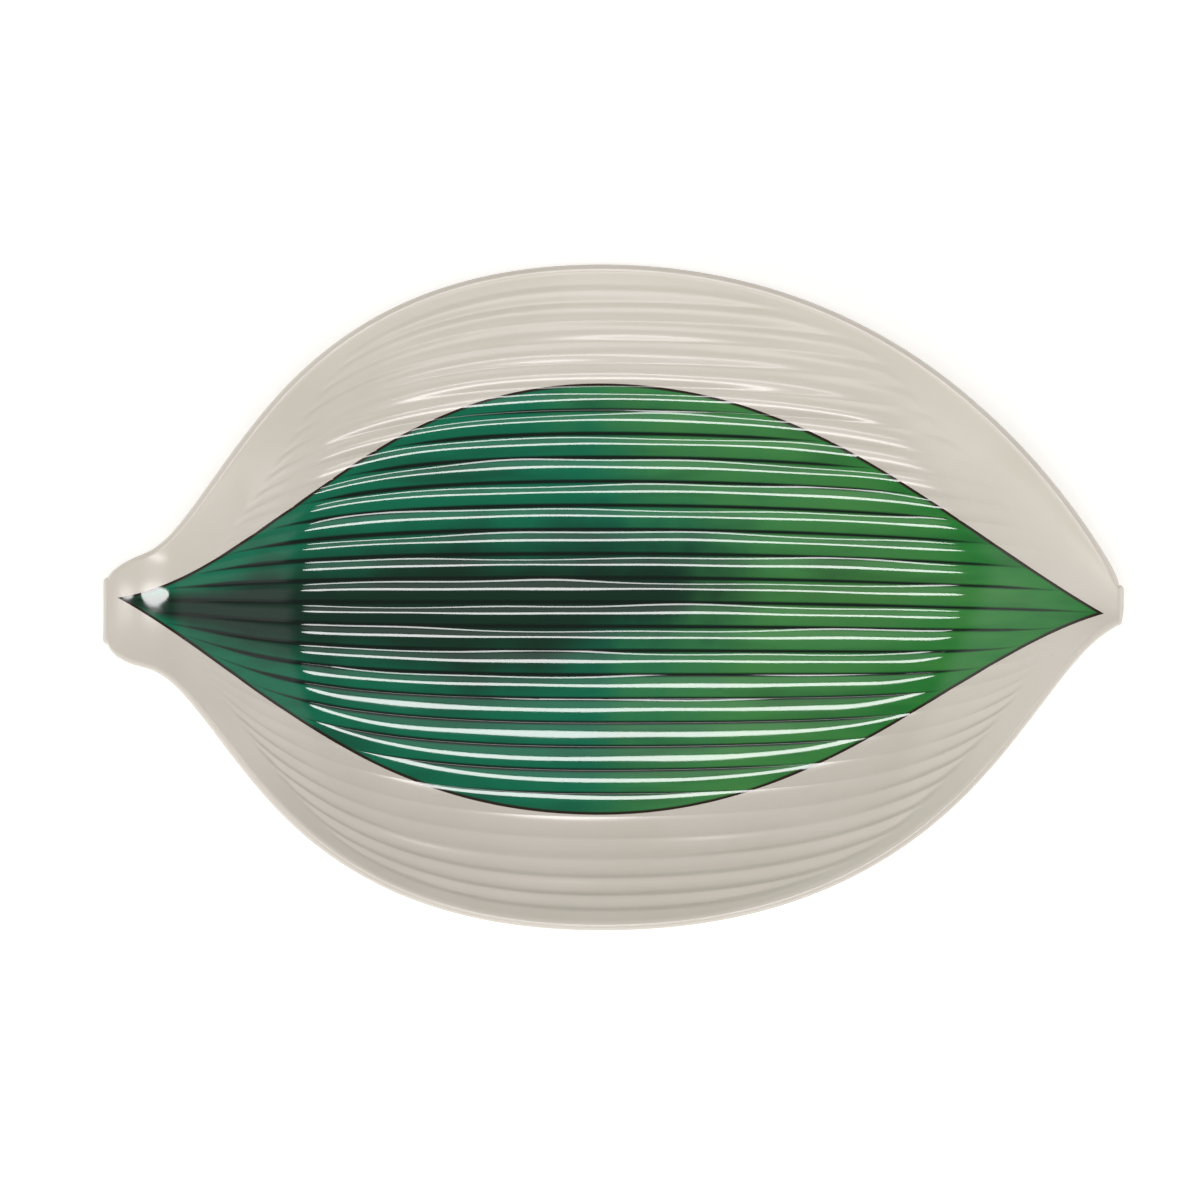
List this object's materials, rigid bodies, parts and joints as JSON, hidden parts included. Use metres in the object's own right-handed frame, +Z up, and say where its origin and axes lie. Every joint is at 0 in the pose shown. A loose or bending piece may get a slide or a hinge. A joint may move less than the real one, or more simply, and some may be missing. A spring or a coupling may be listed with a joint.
{
  "type": "serving plate",
  "caption": "Leaf-shaped melamine serving plate: a shallow boat-shaped shell with fluted face, rounded rim, low foot ring and a green leaf print pressed into its floor.",
  "frame": {"origin": "on the table under the middle of the plate's overall box", "axes": "+X along the plate from the stem end to the tip, +Y across it to the far side, +Z up"},
  "size_m": [0.305, 0.1984, 0.027],
  "materials": {
    "melamine": "glossy moulded melamine, warm off-white",
    "print": "printed foil under clear melamine glaze, greens"
  },
  "bodies": {
    "root": {"plate_body": "melamine", "printed_foil": "print"}
  },
  "joints": []
}
